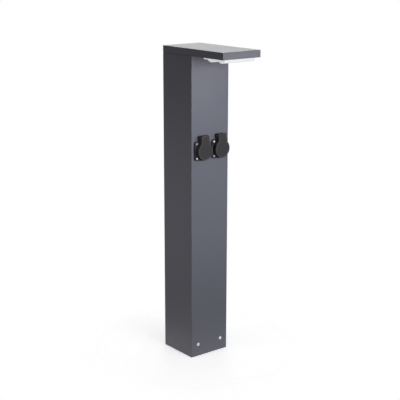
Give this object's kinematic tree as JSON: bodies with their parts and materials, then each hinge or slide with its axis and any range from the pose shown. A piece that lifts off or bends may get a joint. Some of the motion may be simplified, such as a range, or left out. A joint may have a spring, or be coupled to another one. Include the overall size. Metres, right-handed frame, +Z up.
{
  "type": "bollard light with socket",
  "caption": "Square bollard light with an overhanging downlight head and spring-lidded power sockets side by side on its front face.",
  "frame": {"origin": "centre of the post on the ground, on the axis of the cable entry in the foot bracket", "axes": "+Z up the post, -Y out of the face that carries the sockets and the overhang, +X to the right of someone who looks at that face"},
  "size_m": [0.12, 0.2446, 0.82],
  "materials": {
    "powder_coat": "fine-textured anthracite powder coat",
    "zinc_steel": "zinc-plated sheet steel",
    "stainless": "turned stainless steel",
    "black_rubber": "matt",
    "seal_rubber": "matt",
    "silicone": "satin silicone joint",
    "bare_aluminium": "milled",
    "board_white": "white solder mask",
    "emitter": "phosphor under clear resin",
    "lens_clear": "satin clear moulding",
    "driver_white": "fine-textured",
    "terminal_white": "moulded",
    "lead_black": "matt sheath",
    "lead_white": "satin sheath",
    "brass": "bright pressed",
    "socket_black": "moulded, finely spark-eroded",
    "insert_black": "moulded",
    "spring_steel": "drawn wire"
  },
  "bodies": {
    "post_body": {"foot_bracket": "zinc_steel", "foot_screws": "stainless", "foot_nuts": "zinc_steel", "earth_stud": "brass", "earth_nuts": "brass", "terminal_bracket": "zinc_steel", "bracket_screws": "stainless", "terminal_block": "terminal_white", "cord_clamp": "zinc_steel", "clamp_screws": "stainless", "post_tube": "powder_coat", "head_gasket": "black_rubber", "head_spigot": "zinc_steel", "head_screws": "stainless", "spigot_screws": "stainless", "head_shell": "powder_coat", "head_base": "powder_coat", "base_screws": "stainless", "heat_spreader": "bare_aluminium", "led_board": "board_white", "leds": "emitter", "board_screws": "stainless", "lens_cover": "lens_clear", "lens_joint": "silicone", "gear_tray": "zinc_steel", "tray_screws": "stainless", "led_driver": "driver_white", "driver_screws": "stainless", "driver_lead": "lead_black", "led_lead": "lead_white", "left_socket_lead": "lead_black", "right_socket_lead": "lead_black", "flange_screws": "stainless", "flange_nuts": "zinc_steel", "insert_screws": "stainless", "left_flange_gasket": "black_rubber", "left_socket_housing": "socket_black", "left_socket_insert": "insert_black", "left_contact_block": "insert_black", "left_line_contacts": "brass", "left_earth_clip": "brass", "left_rear_cover": "insert_black", "left_hinge_pin": "stainless", "left_hinge_spring": "spring_steel", "right_flange_gasket": "black_rubber", "right_socket_housing": "socket_black", "right_socket_insert": "insert_black", "right_contact_block": "insert_black", "right_line_contacts": "brass", "right_earth_clip": "brass", "right_rear_cover": "insert_black", "right_hinge_pin": "stainless", "right_hinge_spring": "spring_steel"},
    "left_lid_body": {"left_lid": "socket_black", "left_lid_seal": "seal_rubber"},
    "right_lid_body": {"right_lid": "socket_black", "right_lid_seal": "seal_rubber"}
  },
  "joints": [
    {"name": "left_lid_hinge", "type": "hinge", "parent": "post_body", "child": "left_lid_body", "pos_m": [-0.028, -0.0683, 0.5945], "axis": [-1, 0, 0], "range_deg": [0, 100], "stiffness_Nm_per_rad": 0.02, "springref_deg": -28.65, "deforming": ["left_hinge_spring"]},
    {"name": "right_lid_hinge", "type": "hinge", "parent": "post_body", "child": "right_lid_body", "pos_m": [0.028, -0.0683, 0.5945], "axis": [-1, 0, 0], "range_deg": [0, 100], "stiffness_Nm_per_rad": 0.02, "springref_deg": -28.65, "deforming": ["right_hinge_spring"]}
  ]
}
